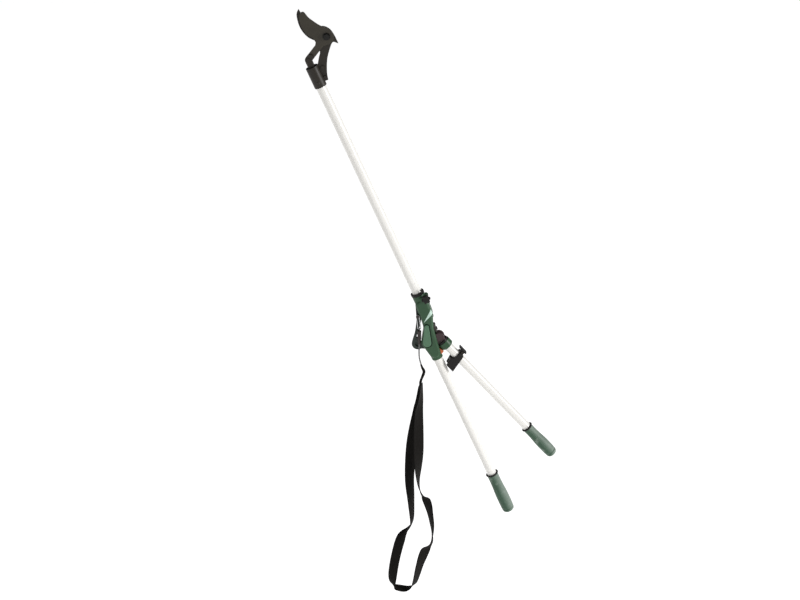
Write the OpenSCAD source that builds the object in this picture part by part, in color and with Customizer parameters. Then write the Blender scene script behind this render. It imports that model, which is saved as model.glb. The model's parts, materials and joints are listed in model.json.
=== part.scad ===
// Long-reach tree pruner: a bypass head on a turning pole, worked by a hand lever through a pull rod.
// It stands as it is held: the pole leans in the XZ plane and the carrying strap hangs straight down.
// The origin is the centre of the main grip. In the pole's own frame x runs across the pole,
// y is depth and z runs up the handle tube's axis.

/* [Pole] */
// Lean of the pole from the vertical, in degrees
pole_lean = 23.2; // [20:0.2:27]
// Outside diameter of the handle tube and of the upper tube
tube_d = 26; // [25:0.25:27]
// Wall of all the tubes
tube_wall = 1.5; // [1:0.1:2]
// Distance from the handle tube's axis to the upper tube's axis
axis_offset = 24.5; // [24:0.5:27]
// Bare length of the handle tube between grip and housing
handle_reach = 391; // [300:1:480]
// Bare length of the upper tube between housing and head
pole_reach = 617; // [450:1:900]

/* [Grips] */
// Length of the main grip with its collar
grip_len = 130; // [110:1:150]
// Length of the lever grip with its collar
lever_grip_len = 112; // [100:1:130]
// Thickness of a grip at its swell
grip_wall = 4.4; // [3.5:0.1:5]
// Height of the collar at the mouth of a grip
grip_collar_h = 5; // [5:0.5:10]
// Thickness of a grip's closed end
grip_end = 5; // [4:0.5:8]

/* [Housing] */
// Length of the housing along the pole
housing_len = 201; // [197:1:208]
// Half the depth of the housing
body_h = 18.5; // [18:0.25:20]
// Rounding of the housing's edges
body_round = 5; // [3:0.5:6]
// Outside radius of the neck that takes the upper tube
neck_r = 17.5; // [17:0.25:19]
// Outside radius of the skirt that takes the handle tube
skirt_r = 15.5; // [15:0.25:17]
// How deep the handle tube sits in the skirt
skirt_depth = 26; // [22:1:28]
// How deep the upper tube sits in the neck
neck_depth = 82; // [78:1:84]
// Half the width of the slot between the two shells that the lever swings in
slot_half = 12; // [11.9:0.05:12.4]

/* [Lever] */
// Angle between the lever and the pole when the blade is shut
lever_angle = 18.3; // [16:0.1:21]
// Swing of the lever from shut to open
lever_swing = 44; // [36:1:48]
// Outside diameter of the lever tube
lever_d = 24; // [20:0.25:24]
// Length of the lever from its drum to its grip
lever_len = 368; // [300:1:450]
// Distance from the lever's pivot to the line of the pull rod
rod_arm = 31.5; // [30.5:0.25:32.5]
// Height of the pivot above the foot of the housing
pivot_rise = 59; // [57:0.5:61]
// Radius of the lever's hub
hub_r = 12; // [10:0.5:12.5]
// Radius of the lever's drum
drum_r = 15; // [13:0.5:15]

/* [Pull rod] */
// Diameter of the pull rod
rod_d = 8; // [6:0.5:8]
// Diameter of the pin that drives the rod
drive_pin_d = 6; // [5:0.25:6.5]
// Thickness of the rod's eye
eye_t = 8; // [7:0.25:8.5]

/* [Head] */
// Wall of the head's collar
collar_wall = 3; // [2.5:0.25:4]
// Length of the head's collar
collar_len = 55; // [50:1:65]
// Distance of the blade's pivot to the side of the pole
head_side = 66.4; // [62:0.2:70]
// Height of the blade's pivot above the collar
head_rise = 57; // [54:0.5:62]
// Thickness of the fixed hook
jaw_t = 5; // [4:0.25:6]
// Thickness of the blade
blade_t = 4; // [3:0.25:5]
// Diameter of the blade's pivot bolt
blade_bolt_d = 8; // [6:0.5:10]
// Diameter of the pin that moves the blade's tail
tail_pin_d = 7; // [5:0.5:7.5]

/* [Strap] */
// Diameter of the stud that the strap's ring hangs on
stud_d = 5; // [4:0.25:5.5]
// Diameter of the ring's wire
ring_wire = 2.4; // [2:0.1:2.8]
// Distance between the two ends of the ring
ring_len = 34; // [30:0.5:38]
// Diameter of the snap hook's body
snap_d = 10; // [8:0.25:10.5]
// Diameter of the strap's cord
cord_d = 4; // [3:0.25:4.5]
// Width of the webbing
webbing_w = 30; // [24:1:32]
// Thickness of the webbing
webbing_t = 1.8; // [1.2:0.1:2.2]

/* [Fits] */
// Radial play of pieces that are pushed or screwed together
fit = 0.05; // [0.03:0.01:0.08]
// Gap between pieces that move past each other
run_gap = 0.5; // [0.4:0.05:0.6]

/* [Hidden] */
$fn = 48;
// How far a cutting shape runs past the face it cuts
over = 1;

// Colours of the finishes
white_paint = [0.93, 0.93, 0.91];
body_green = [0.25, 0.42, 0.33];
panel_green = [0.33, 0.50, 0.40];
spine_grey = [0.20, 0.23, 0.21];
black_plastic = [0.11, 0.11, 0.11];
drum_brown = [0.33, 0.27, 0.28];
blade_black = [0.22, 0.21, 0.19];
steel_grey = [0.62, 0.62, 0.63];
nylon_white = [0.85, 0.84, 0.80];
signal_orange = [0.85, 0.40, 0.18];
cord_grey = [0.55, 0.55, 0.55];
strap_black = [0.13, 0.12, 0.12];

// Stations along the pole
tube_r = tube_d / 2;
housing_foot = grip_len / 2 + handle_reach;
housing_top = housing_foot + housing_len;
handle_top = housing_foot + skirt_depth;
upper_foot = housing_top - neck_depth;
collar_foot = housing_top + pole_reach;
collar_top = collar_foot + collar_len;
mouth_depth = 22;
upper_top = collar_top - mouth_depth;

// Neck of the housing
ring_h = 7;
ring_lip = 0.8;
neck_rise = 35;
bush_wall = 1.5;
bush_r = tube_r + fit + bush_wall;
stop_ring_h = 5;
stop_ring_wall = 1.4;
stop_ring_r = tube_r + fit + stop_ring_wall;
ring_room = 4;
bush_foot = upper_foot + stop_ring_h + ring_room;

// Round masses that the housing is blended from: side offset, height, radius
neck_mass = [axis_offset, housing_top - neck_rise, neck_r];
shoulder_mass = [axis_offset - 1, housing_top - 67, neck_r - 0.5];
waist_mass = [axis_offset - 10.5, housing_top - 105, 13];
pivot_mass = [axis_offset - rod_arm, housing_foot + pivot_rise, 14.5];
hip_mass = [axis_offset - 20, housing_foot + pivot_rise - 7, 16];
skirt_mass = [1, housing_foot + 22, skirt_r];

// Clamp at the neck
ear_side = 5;
clamp_r = 2.5;
ear_r = 6.5;
ear_front = body_h;
ear_back = 7.5;
ear_gap = 1;
ear_x = axis_offset + tube_r + ear_side;
ear_z = housing_top - 19;
knob_r = 9;
knob_lobe_r = 3.4;
knob_lobes = 6;
knob_h = 10;
knob_step = 3;
knob_top = 2;
nut_h = 4;

// Lever pivot, drum and drive pin at rest
pivot_x = axis_offset - rod_arm;
pivot_z = housing_foot + pivot_rise;
pivot_r = 4;
head_r = 7.5;
head_h = 2.5;
head_play = 0.4;
sink_r = head_r + head_play;
sink_h = head_h + head_play;
cover_back = 1.6;
groove_w = 2.6;
groove_deep = 1.2;
sink_front = sink_h + cover_back;
lever_half = slot_half - run_gap;
cheek_in = eye_t / 2 + run_gap;
drum_side = 2.7;
drum_drop = 2;
drum_x = axis_offset + drum_side;
drum_z = pivot_z - drum_drop;
pin_angle = -lever_swing / 2;
pin_radius = rod_arm / cos(pin_angle);
pin_x = axis_offset;
pin_z = pivot_z + rod_arm * tan(pin_angle);
pin_side = pin_radius - rod_arm;
lever_bush_wall = 1.8;
bush_in = pivot_r + fit;
bush_out = bush_in + lever_bush_wall;

// Stations along the lever, measured from the centre of its drum
band_at = 13.5;
band_h = 5;
band_r = 16;
band_core = 11.2;
neck_half = 12;
tube_at = band_at + band_h;
spigot_len = 46;
cap_h = 19;
cap_wall = 5.4;
cap_slope = 3;
lever_r = lever_d / 2;
cap_r = lever_r + fit + cap_wall;
bumper_gap = 0.4;
bumper_depth = 8;
bumper_len = 16;
bumper_drop = 3;
bumper_half = 9;

// Rod eye and swivel cup at rest
eye_wall = 2.3;
slot_play = 0.7;
slot_r = drive_pin_d / 2 + slot_play;
eye_r = slot_r + eye_wall;
rod_r = rod_d / 2;
stem_r = min(rod_r, eye_t / 2);
cup_gap = 28;
cup_foot = pin_z + eye_r + cup_gap;
cup_h = 18;
cup_floor = 6;
button_r = 6.5;
button_h = 5;
button_play = 0.3;
cup_wall = 2.6;
cup_r = button_r + button_play + cup_wall;
button_foot = cup_foot + cup_floor + button_play;

// Blade pivot, tail pin and the planes of the head
blade_x = axis_offset + head_side;
blade_z = collar_top + head_rise;
tail_rise = 20;
tail_z = collar_top + tail_rise;
tail_pin_r = tail_pin_d / 2;
tail_drop = blade_z - tail_z;
tail_angle = atan(tail_drop / head_side);
tail_out = norm([head_side, tail_drop]);
tail_play = 1.2;
tail_wall = 3.8;
slot_half_w = tail_pin_r + tail_play;
tail_r = slot_half_w + tail_wall;
blade_gap = 0.3;
blade_front = -blade_gap - blade_t;
collar_r = tube_r + fit + collar_wall;
mouth_play = 1.4;
collar_mouth_r = tube_r + mouth_play;
fork_t = 4;
fork_front = blade_front - run_gap;
fork_back = run_gap - blade_gap;
fork_half = 8;
fork_reach = 9;
fork_drop = 13;
fork_block = 12;
fork_floor = 2;
pin_lip = 1.6;
lug_t = 4;
lug_foot = 7;
lug_top = 2;
blade_bolt_r = blade_bolt_d / 2;
washer_t = 1.2;
washer_lip = 1.5;
washer_face = blade_front - blade_gap;
bolt_face = washer_face - washer_t;
blade_head_h = 5;
blade_nut_h = 6;
jaw_bolt_r = 2.5;
jaw_bolt_head = 3;
jaw_bolt_lip = 1.9;
jaw_bolt_rows = [[4.5, 17], [8.5, 43]];

// Screws of the housing: side offset and height
screw_r = 2;
screw_head_r = 3.8;
screw_head_h = 3;
screw_sink = screw_head_h + 0.2;
screw_socket = 1.6;
screw_tip = 10;
screw_high = [16.5, 84];
screw_low = [31, 21];
screw_places = [
    [axis_offset - screw_high[0], housing_top - screw_high[1]],
    [axis_offset - screw_low[0], pivot_z - screw_low[1]]
];
handle_screw_r = 2.5;
handle_screw_z = housing_foot + 12;
handle_head_r = 4.8;
handle_head_h = 2.6;

// Strap eye: rows of its spine, as side behind the pole and drop below its top on a spine of the drawn length
eye_half = 4;
spine_drop = 24;
spine_top = housing_top - spine_drop;
lobe_side = 57;
lobe_rise = 1;
lobe_x = axis_offset - lobe_side;
lobe_z = pivot_z + lobe_rise;
lobe_r = 16.5;
lobe_dish_r = 7;
lobe_back = [-7, 18];
lobe_front = [6, 18];
spine_drawn = 99;
spine_back = [[15.5, 0], [18, 8], [24, 25], [32, 47], [48, 78]];
spine_front = [[52.5, 96], [38.5, 80], [20, 52], [15.5, 26]];
spine_span = spine_top - lobe_z - lobe_back[1];
function spine_point(row) = [axis_offset - row[0], spine_top - row[1] * spine_span / spine_drawn];

// Stud in the strap eye that the ring hangs on
stud_r = stud_d / 2;
stud_lip = 1.6;
stud_row = [24.7, 39];
stud_x = spine_point(stud_row)[0];
stud_z = spine_point(stud_row)[1];
ring_y = -9.8;
ring_r = ring_wire / 2;
stud_arm = ring_r + 1.4;

// Ring, snap hook, cord, loop and webbing: places beside and below the stud, in the upright frame
ring_bow = stud_r + fit + ring_r;
ring_tilt = 8;
ring_foot = [ring_len * sin(ring_tilt), -ring_len * cos(ring_tilt)];
snap_r = snap_d / 2;
snap_wire = 1.3;
snap_x = ring_foot[0];
snap_bow = 3.6;
snap_lip = 0.4;
snap_head_r = snap_bow + snap_wire + snap_lip;
snap_top = ring_foot[1] - ring_bow + ring_r + fit - snap_bow + snap_wire;
snap_neck = snap_top - snap_bow;
snap_len = 40;
snap_foot = snap_neck - snap_len;
cord_route = [[0, 0, 0], [0, 0, -7], [-0.5, 0, -20], [0, 0, -34], [1, 0, -44], [3, 0, -52], [5, 0, -60]];
loop_route = [
    [5, 0, -60 - fit], [6, 0, -64], [9, 0, -72], [12.5, 0, -79], [13, 0, -85], [10, 0, -95],
    [6, 0, -106], [4, 0, -115], [4, 0, -121 + fit]
];
loop_d = 8;
// Webbing: side, depth, height and the turn of its width about the upright
webbing_route = [
    [1, 2, -121, 80], [0, 6, -167, 53], [-3, 8, -201, 30], [-19, 9, -306, 9],
    [-25, 8, -414, 30], [-20.5, 6, -491, 53], [-18, 4, -560, 72], [-31, 2, -585, 84],
    [-49.5, 1, -615, 142], [-64.5, 1, -678, 147], [-73, 1, -740, 142], [-71.5, 0, -772, 111],
    [-54, 0, -781, 80], [-31, 0, -783, 63], [-13, 0, -772, 57], [-4.5, -1, -745, 50],
    [5, -2, -702, 37], [20, -3, -652, 20], [37.5, -4, -623, 71], [38.5, -5, -571, 110],
    [32.5, -5, -527, 127], [22, -6, -482, 148], [9, -7, -461, 109], [0, -8, -419, 76],
    [0, -9, -320, 26], [0, -7, -208, 40], [4, -5, -171, 60], [7, -2, -121, 80]
];

// Smooth curve through a list of points, with a number of steps between each two
function blend(a, b, c, d, t) =
    0.5 * (2 * b + (c - a) * t + (2 * a - 5 * b + 4 * c - d) * t * t + (3 * b - 3 * c + d - a) * t * t * t);
function smooth(p, steps) = [
    for (i = [0:len(p) - 2], k = [0:steps - 1])
        blend(p[max(i - 1, 0)], p[i], p[i + 1], p[min(i + 2, len(p) - 1)], k / steps),
    p[len(p) - 1]
];
function unit(v) = v / norm(v);
function place(p) = [p[0], p[1], p[2]];
function along(p, i) = unit(place(p[min(i + 1, len(p) - 1)]) - place(p[max(i - 1, 0)]));
function across(w, t) = unit(w - t * (w * t));

// Faces of a closed skin over rings of the same number of points, split the same way on its two opposite halves
function skin_faces(rings, sides) = concat(
    [for (k = [1:sides - 2]) [0, k, k + 1]],
    [for (i = [0:rings - 2], k = [0:sides - 1])
        let (a = i * sides + k, b = i * sides + (k + 1) % sides)
        [a, a + sides, k < sides / 2 ? b : b + sides]],
    [for (i = [0:rings - 2], k = [0:sides - 1])
        let (a = i * sides + k, b = i * sides + (k + 1) % sides)
        k < sides / 2 ? [b, a + sides, b + sides] : [a, b + sides, b]],
    [for (k = [1:sides - 2]) let (e = (rings - 1) * sides) [e, e + k + 1, e + k]]
);

// Round tube along a route that lies near the XZ plane
module swept_tube(route, r, sides) {
    rings = [for (i = [0:len(route) - 1])
        let (t = along(route, i), a = unit(cross(t, [0, 1, 0])), b = cross(t, a))
        for (k = [0:sides - 1]) place(route[i]) + r * (cos(360 * k / sides) * a + sin(360 * k / sides) * b)];
    polyhedron(points = rings, faces = skin_faces(len(route), sides), convexity = 6);
}

// Flat ribbon along a route whose fourth number turns the ribbon's width
module swept_ribbon(route, w, thick) {
    corners = [[1, 1], [-1, 1], [-1, -1], [1, -1]];
    rings = [for (i = [0:len(route) - 1])
        let (t = along(route, i), a = across([cos(route[i][3]), sin(route[i][3]), 0], t), b = cross(t, a))
        for (c = corners) place(route[i]) + c[0] * w / 2 * a + c[1] * thick / 2 * b];
    polyhedron(points = rings, faces = skin_faces(len(route), len(corners)), convexity = 10);
}

// Frame of the pole, with z up the handle tube's axis
module in_pole() {
    rotate([0, -pole_lean, 0]) children();
}

// Frame of the lever at rest, with the drum at the origin and z up the lever tube
module in_lever() {
    in_pole() at_lever() children();
}
module at_lever() {
    translate([drum_x, 0, drum_z]) rotate([0, -lever_angle, 0]) children();
}

// Upright frame that hangs from the strap's stud
module in_hang() {
    in_pole() translate([stud_x, ring_y, stud_z]) rotate([0, pole_lean, 0]) children();
}
module at_cord() {
    in_hang() translate([snap_x, 0, snap_foot]) children();
}

// Plate between two depths, from an outline drawn in x and z
module plate(y0, y1) {
    translate([0, y1, 0]) rotate([90, 0, 0]) linear_extrude(y1 - y0) children();
}

// Round bar through the depth
module bar(x, z, r, y0, y1) {
    translate([x, y1, z]) rotate([90, 0, 0]) cylinder(r = r, h = y1 - y0);
}

// Upright tube or, with no inner radius, an upright rod
module upright(x, z0, z1, ro, ri = 0) {
    translate([x, 0, z0]) difference() {
        cylinder(r = ro, h = z1 - z0);
        if (ri > 0) translate([0, 0, -over]) cylinder(r = ri, h = z1 - z0 + 2 * over);
    }
}

// Two flattened discs that round off one mass of the housing
module puck(m) {
    bar(m[0], m[1], m[2], body_round - body_h, body_h - body_round, $fn = 32);
    bar(m[0], m[1], m[2] - body_round, -body_h, body_h, $fn = 32);
}
module housing_mass() {
    for (pair = [
        [neck_mass, shoulder_mass], [shoulder_mass, waist_mass], [waist_mass, hip_mass],
        [waist_mass, pivot_mass], [pivot_mass, skirt_mass], [hip_mass, skirt_mass]
    ])
        hull() {
            puck(pair[0]);
            puck(pair[1]);
        }
    upright(axis_offset, neck_mass[1], housing_top - ring_h, neck_r);
    upright(0, housing_foot, skirt_mass[1], skirt_r);
    bar(ear_x, ear_z, ear_r, -ear_front, ear_back);
    translate([axis_offset, -ear_front, ear_z - ear_r])
        cube([ear_x - axis_offset, ear_front + ear_back, 2 * ear_r]);
}

// Point at a radius and an angle about the lever's pivot
function from_pivot(r, a) = [pivot_x + r * cos(a), pivot_z + r * sin(a)];
drum_reach = norm([drum_x - pivot_x, drum_drop]);
drum_rest = -asin(drum_drop / drum_reach);
drum_half = asin(drum_r / drum_reach);
sweep_play = 4;
sweep_room = 3;
sweep_r = drum_reach + drum_r + sweep_room;
band_low = atan2(
    drum_z - tube_at * cos(lever_angle) - band_r * sin(lever_angle) - pivot_z,
    drum_x + tube_at * sin(lever_angle) - band_r * cos(lever_angle) - pivot_x
);
sweep_low = min(drum_rest - drum_half, band_low) - sweep_play;
sweep_high = drum_rest + lever_swing + drum_half + sweep_play;
well_gap = 1.5;
well_r = hub_r + well_gap;
module sweep_outline() {
    translate([pivot_x, pivot_z]) circle(r = well_r);
    polygon(concat(
        [from_pivot(well_r, sweep_high + 90)],
        [for (k = [0:12]) from_pivot(sweep_r, sweep_high + (sweep_low - sweep_high) * k / 12)],
        [from_pivot(well_r, sweep_low - 90)]
    ));
}

// Everything that is hollowed out of the two shells
rod_well_gap = 1.2;
ring_gap = 0.6;
rod_well_r = cup_r + rod_well_gap;
module housing_hollow() {
    plate(-slot_half, slot_half) sweep_outline();
    upright(axis_offset, pin_z - eye_r - over, upper_foot + over, rod_well_r);
    translate([axis_offset, -rod_well_r, pin_z])
        cube([2 * neck_r, 2 * rod_well_r, waist_mass[1] - pin_z]);
    upright(axis_offset, upper_foot - over, bush_foot, stop_ring_r + ring_gap);
    upright(axis_offset, bush_foot - over, housing_top + over, bush_r + fit);
    upright(0, housing_foot - over, handle_top + fit, tube_r + fit);
    translate([axis_offset + tube_r, -ear_gap, ear_z - 2 * ear_r]) cube([3 * ear_r, 2 * ear_gap, 4 * ear_r]);
    bar(ear_x, ear_z, clamp_r + fit, -body_h - over, body_h);
    bar(ear_x, ear_z, 2 * clamp_r + head_play, ear_back, 2 * body_h);
    bar(pivot_x, pivot_z, pivot_r + fit, -body_h - over, body_h + over);
    bar(pivot_x, pivot_z, sink_r, -body_h - over, sink_front - body_h);
    bar(pivot_x, pivot_z, sink_r, body_h - sink_h, body_h + over);
    for (s = screw_places) {
        bar(s[0], s[1], screw_r + fit, -screw_tip - fit, body_h);
        bar(s[0], s[1], screw_head_r + head_play, body_h - screw_sink, body_h + over);
    }
    bar(0, handle_screw_z, handle_screw_r + fit, -tube_r, 2 * skirt_r);
    bar(0, handle_screw_z, handle_head_r + head_play, skirt_r, 2 * skirt_r);
    plate(-eye_half - fit, eye_half + fit) eye_outline();
    at_lever() bumper_block(fit);
    plate(-body_h - over, cover_back - body_h) cover_outline(fit);
    plate(-body_h - over, groove_deep - body_h) cover_outline(groove_w);
}
module housing_half(side) {
    difference() {
        housing_mass();
        translate([-housing_len, side > 0 ? -housing_len : 0, housing_foot - over])
            cube([2 * housing_len, housing_len, 2 * housing_len]);
        housing_hollow();
    }
}

// Raised cover over the pivot, on the front shell
cover_rise = 2.4;
cover_r = 11.5;
cover_tip_r = 6;
cover_shift = 1;
cover_tip_side = 3;
cover_tip_rise = 8;
module cover_outline(grow) {
    hull() {
        translate([pivot_x + cover_shift, pivot_z + cover_shift]) circle(r = cover_r + grow, $fn = 32);
        translate([waist_mass[0] - cover_tip_side, waist_mass[1] + cover_tip_rise])
            circle(r = cover_tip_r + grow, $fn = 32);
    }
}

// Strap eye: a spine down the back of the housing that ends in a round lobe
tongue_gap = 2;
tongue_h = 9;
tongue_side = 4;
tongue_low = 8;
tongue_high = 12;
tongue_z = pivot_z - well_r - tongue_gap;
module eye_outline() {
    polygon(concat(
        smooth(concat([for (row = spine_back) spine_point(row)], [[lobe_x, lobe_z] + lobe_back]), 5),
        [for (a = [140:20:280]) [lobe_x + lobe_r * cos(a), lobe_z + lobe_r * sin(a)]],
        [
            [pivot_x - tongue_side, tongue_z - tongue_h], [pivot_x - tongue_side, tongue_z],
            [pivot_x - well_r - over, pivot_z - tongue_low], [pivot_x - well_r - over, pivot_z + tongue_high],
            [lobe_x, lobe_z] + lobe_front
        ],
        smooth([for (row = spine_front) spine_point(row)], 4)
    ));
}

// Rubber bumper that the lever's cap comes to rest on, drawn in the lever's frame
module bumper_block(grow) {
    translate([
        -cap_r - bumper_gap - bumper_depth - grow, -bumper_half - grow, -tube_at - cap_h - bumper_drop - grow
    ])
        cube([bumper_depth + grow, 2 * (bumper_half + grow), bumper_len + 2 * grow]);
}

// Handle and housing
module handle_tube() {
    color(white_paint) in_pole() difference() {
        upright(0, grip_end - grip_len / 2, handle_top, tube_r, tube_r - tube_wall);
        bar(0, handle_screw_z, handle_screw_r + fit, -tube_d, tube_d);
    }
}

// Soft grip over a tube, standing from z = 0 at its closed end
grip_flat_r = 12;
// Rows near the closed end: inside the swell, and height, with a groove round the end
grip_foot_rows = [[2.4, 2.2], [1, 6.5], [0.8, 8.8], [1.8, 10.2], [0.7, 11.6], [0.2, 20]];
// Rows further up: inside the swell, and share of the grip's length
grip_swell_rows = [[0, 0.36], [0.5, 0.5], [1.7, 0.66], [2.2, 0.8]];
grip_mouth_in = 2;
module grip_body(l, r) {
    swell = r + grip_wall;
    rotate_extrude() difference() {
        polygon(concat(
            [[0, 0], [grip_flat_r, 0]],
            smooth(concat(
                [for (row = grip_foot_rows) [swell - row[0], row[1]]],
                [for (row = grip_swell_rows) [swell - row[0], row[1] * l]],
                [[swell - grip_mouth_in, l - grip_collar_h]]
            ), 4),
            [[0, l - grip_collar_h]]
        ));
        translate([0, grip_end]) square([r + fit, l]);
    }
}
grip_lip = 0.4;
grip_lip_h = 1.4;
module grip_collar(l, r) {
    swell = r + grip_wall;
    rotate_extrude() polygon([
        [r + fit, l - grip_collar_h], [swell - grip_mouth_in, l - grip_collar_h],
        [swell - grip_mouth_in / 2, l - grip_collar_h / 2], [swell + grip_lip, l - grip_lip_h],
        [swell - grip_lip, l], [r + fit, l]
    ]);
}
module main_grip() {
    color(body_green) in_pole() translate([0, 0, -grip_len / 2]) grip_body(grip_len, tube_r);
}
module main_grip_collar() {
    color(black_plastic) in_pole() translate([0, 0, -grip_len / 2]) grip_collar(grip_len, tube_r);
}
module housing_front() {
    color(body_green) in_pole() housing_half(-1);
}
module housing_back() {
    color(body_green) in_pole() housing_half(1);
}
module pivot_cover() {
    color(panel_green) in_pole() plate(-body_h - cover_rise, cover_back - body_h) cover_outline(0);
}
module strap_eye() {
    color(spine_grey) in_pole() difference() {
        plate(-eye_half, eye_half) eye_outline();
        bar(lobe_x, lobe_z, lobe_dish_r, -body_h, 0);
        bar(stud_x, stud_z, stud_r + fit, -body_h, body_h);
    }
}
module strap_stud() {
    color(steel_grey) in_pole() {
        bar(stud_x, stud_z, stud_r, ring_y - stud_arm, eye_half);
        bar(stud_x, stud_z, stud_r + stud_lip, ring_y - stud_arm - stud_lip, ring_y - stud_arm);
    }
}

// Ring at the mouth of the neck, with the small hook that parks a cord
park_bow = 6;
park_wire = 1.7;
park_y = neck_r - 1;
module neck_ring() {
    color(black_plastic) in_pole() {
        upright(axis_offset, housing_top - ring_h, housing_top, neck_r + ring_lip, tube_r + run_gap);
        translate([axis_offset + 11, -park_y, housing_top + 2]) rotate([90, 0, 0]) rotate(-150)
            rotate_extrude(angle = 235) translate([park_bow, 0]) circle(r = park_wire, $fn = 24);
    }
}
module pole_bush() {
    color(nylon_white) in_pole()
        upright(axis_offset, bush_foot, housing_top - ring_h, bush_r, tube_r + fit);
}
knob_foot = ear_front + run_gap;
module clamp_knob() {
    color(black_plastic) in_pole() difference() {
        union() {
            bar(ear_x, ear_z, knob_r, -knob_foot - knob_h, -knob_foot);
            for (k = [0:knob_lobes - 1]) let (a = 360 * k / knob_lobes)
                bar(
                    ear_x + knob_r * cos(a), ear_z + knob_r * sin(a), knob_lobe_r,
                    -knob_foot - knob_h, -knob_foot - knob_step
                );
        }
        bar(ear_x, ear_z, clamp_r + fit, -knob_foot - knob_h + knob_top, 0);
    }
}
module clamp_screw() {
    color(steel_grey) in_pole()
        bar(ear_x, ear_z, clamp_r, -knob_foot - knob_h + knob_top, ear_back + nut_h + over);
}
module clamp_nut() {
    color(steel_grey) in_pole() difference() {
        bar(ear_x, ear_z, 2 * clamp_r, ear_back, ear_back + nut_h, $fn = 6);
        bar(ear_x, ear_z, clamp_r + fit, 0, body_h + nut_h);
    }
}
module lever_pivot_bolt() {
    color(steel_grey) in_pole() {
        bar(pivot_x, pivot_z, head_r, sink_front - body_h - head_h, sink_front - body_h);
        bar(pivot_x, pivot_z, pivot_r, sink_front - body_h, body_h - head_play);
    }
}
module lever_pivot_nut() {
    color(steel_grey) in_pole() difference() {
        bar(pivot_x, pivot_z, head_r, body_h - sink_h, body_h - sink_h + head_h, $fn = 6);
        bar(pivot_x, pivot_z, pivot_r + fit, 0, body_h + over);
    }
}
module housing_screws() {
    color(steel_grey) in_pole() for (s = screw_places) {
        bar(s[0], s[1], screw_r, -screw_tip, body_h - screw_sink);
        difference() {
            bar(s[0], s[1], screw_head_r, body_h - screw_sink, body_h - screw_sink + screw_head_h);
            bar(s[0], s[1], screw_r, body_h - screw_socket, body_h, $fn = 6);
        }
    }
}
module handle_screw() {
    color(steel_grey) in_pole() {
        bar(0, handle_screw_z, handle_head_r, skirt_r, skirt_r + handle_head_h);
        bar(0, handle_screw_z, handle_screw_r, -tube_r, skirt_r);
    }
}
module stop_bumper() {
    color(signal_orange) in_pole() difference() {
        at_lever() bumper_block(0);
        upright(0, housing_foot, pivot_z, tube_r + fit);
    }
}

// Upper pole and head
rivet_r = 2.2;
rivet_lip = 1.3;
rivet_z = collar_foot + 14;
module upper_tube() {
    color(white_paint) in_pole() difference() {
        upright(axis_offset, upper_foot, upper_top, tube_r, tube_r - tube_wall);
        bar(axis_offset, rivet_z, rivet_r + fit, -tube_d, tube_d);
    }
}
module pole_stop_ring() {
    color(steel_grey) in_pole()
        upright(axis_offset, upper_foot, upper_foot + stop_ring_h, stop_ring_r, tube_r + fit);
}
guide_count = 3;
guide_h = 14;
module rod_guides() {
    span = upper_top - upper_foot;
    color(nylon_white) in_pole() for (k = [1:guide_count]) let (z = upper_foot + span * k / (guide_count + 1))
        upright(axis_offset, z, z + guide_h, tube_r - tube_wall - fit, rod_r + fit);
}
// Lug behind the hook's arm: side beyond the collar and height above the collar's foot
lug_shape = [
    [collar_mouth_r - collar_r, lug_foot], [4, lug_foot + 0.5], [9.5, lug_foot + 14],
    [15, collar_len - lug_top - 8], [16, collar_len - lug_top],
    [collar_mouth_r - collar_r, collar_len - lug_top]
];
module head_collar() {
    color(blade_black) in_pole() difference() {
        union() {
            upright(axis_offset, collar_foot, collar_top, collar_r);
            translate([axis_offset + collar_r, 0, collar_foot])
                plate(jaw_t, jaw_t + lug_t) polygon(lug_shape);
        }
        upright(axis_offset, collar_foot - over, upper_top, tube_r + fit);
        upright(axis_offset, upper_top, collar_top + over, collar_mouth_r);
        bar(axis_offset, rivet_z, rivet_r + fit, -2 * collar_r, 2 * collar_r);
        for (b = jaw_bolt_rows) translate([axis_offset + collar_r + b[0], 0, collar_foot + b[1]])
            bar(0, 0, jaw_bolt_r + fit, 0, jaw_t + lug_t + over);
    }
}
module collar_rivets() {
    color(blade_black) in_pole() for (tilt = [-90, 90])
        translate([axis_offset, 0, rivet_z]) rotate([tilt, 0, 0]) {
        translate([0, 0, tube_r - tube_wall]) cylinder(r = rivet_r, h = collar_r - tube_r + tube_wall);
        translate([0, 0, collar_r]) cylinder(r1 = rivet_r + rivet_lip, r2 = rivet_r, h = rivet_lip);
    }
}

// Outline of the fixed hook about the blade's pivot, from its spur down the outer edge to the arm and back
arm_side = head_side - collar_r - fit;
arm_foot = head_rise + collar_len - lug_foot - over;
hook_rim = [
    [-36, 89], [-45, 80], [-49.5, 65], [-51.5, 48], [-49.5, 31], [-44, 16], [-36.5, 6], [-29, -1]
];
hook_throat = [[-29, -14], [-32, -31], [-39.5, -41.5]];
hook_spur = [[-31, -70.5], [-21, -52], [-10, -37.5], [1, -25], [7, -20.5], [11, -21], [18.8, -28.5]];
hook_crown = [[18.5, -10], [16, 8], [10, 19], [2, 26], [-4, 27]];
hook_mouth = [[-22, 26], [-32, 33], [-38, 45], [-39.5, 58], [-37.5, 71], [-35, 80]];
arm_ease = [3, 4];
arm_step = 0.5;
arm_toe = [[8, 0], [11, 13]];
module jaw_outline() {
    polygon(concat(
        smooth(hook_rim, 5),
        smooth(concat(hook_throat, [[-arm_side, -head_rise] + arm_ease]), 3),
        [[-arm_side, -head_rise - arm_step], [-arm_side, -arm_foot]],
        smooth(concat([for (row = arm_toe) [-arm_side, -arm_foot] + row], hook_spur), 4),
        smooth(hook_crown, 4),
        smooth(hook_mouth, 4)
    ));
}
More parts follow.
